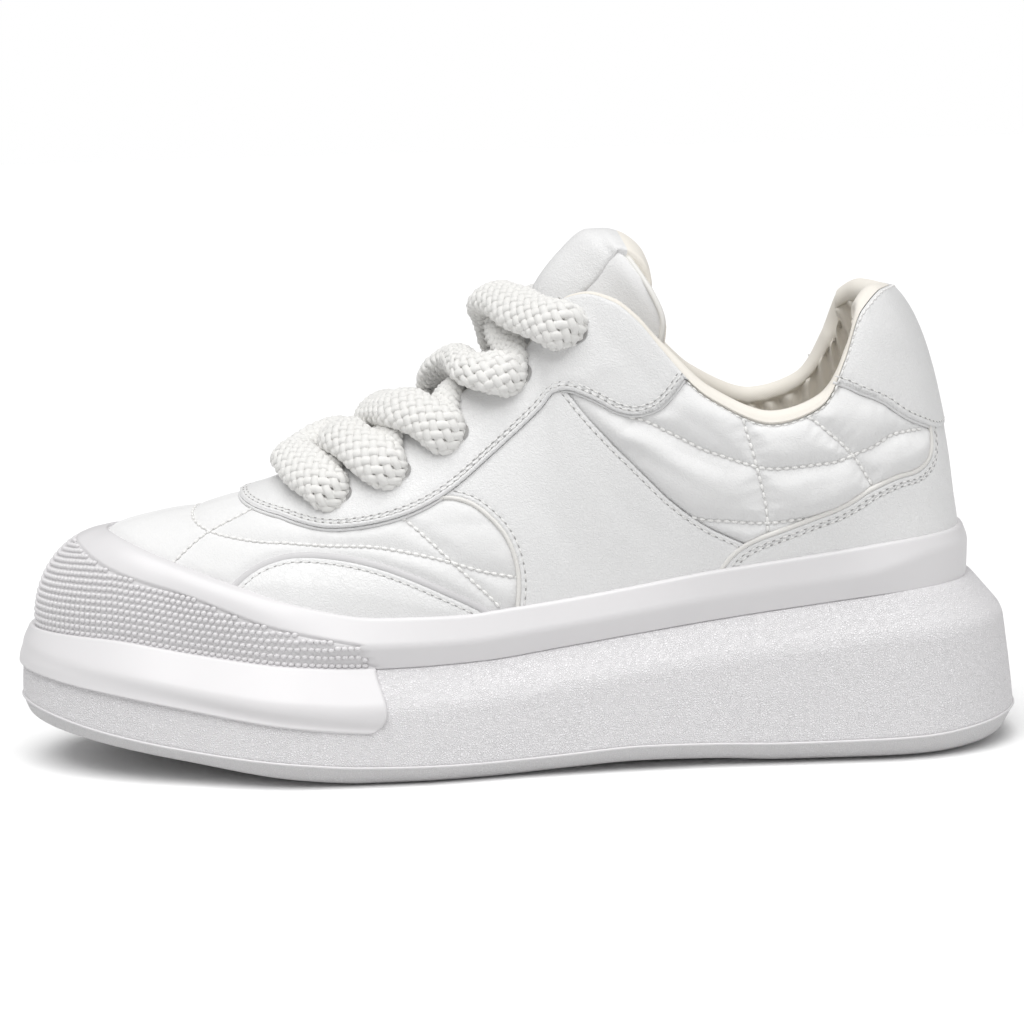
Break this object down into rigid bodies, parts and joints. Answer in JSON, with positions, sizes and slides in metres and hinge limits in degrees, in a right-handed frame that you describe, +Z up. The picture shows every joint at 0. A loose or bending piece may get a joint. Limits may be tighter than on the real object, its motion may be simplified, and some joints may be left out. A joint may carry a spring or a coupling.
{
  "type": "platform sneaker",
  "caption": "Low-cut lace-up sneaker with a thick platform sole, rubber toe cap, quilted padded upper, padded tongue and fat braided laces.",
  "frame": {"origin": "on the floor, below the middle of the shoe's box in length and width", "axes": "+X runs from the toe to the heel, +Y to the inner side of the foot, +Z up from the floor"},
  "size_m": [0.2899, 0.1089, 0.1496],
  "materials": {
    "platform": "fine pebbled grain, matt",
    "sidewall": "smooth, satin",
    "quilting": "soft matt, padded and stitched",
    "leather": "smooth with a fine grain, satin",
    "lining": "soft matt knit",
    "braid": "fat round braid, matt"
  },
  "bodies": {
    "root": {"outsole": "platform", "midsole": "platform", "sidewall": "sidewall", "toe_bumper": "sidewall", "upper": "quilting", "eyestay_outer": "leather", "eyestay_inner": "leather", "heel_tab": "leather", "tongue": "quilting", "insole": "lining", "laces": "braid"}
  },
  "joints": []
}
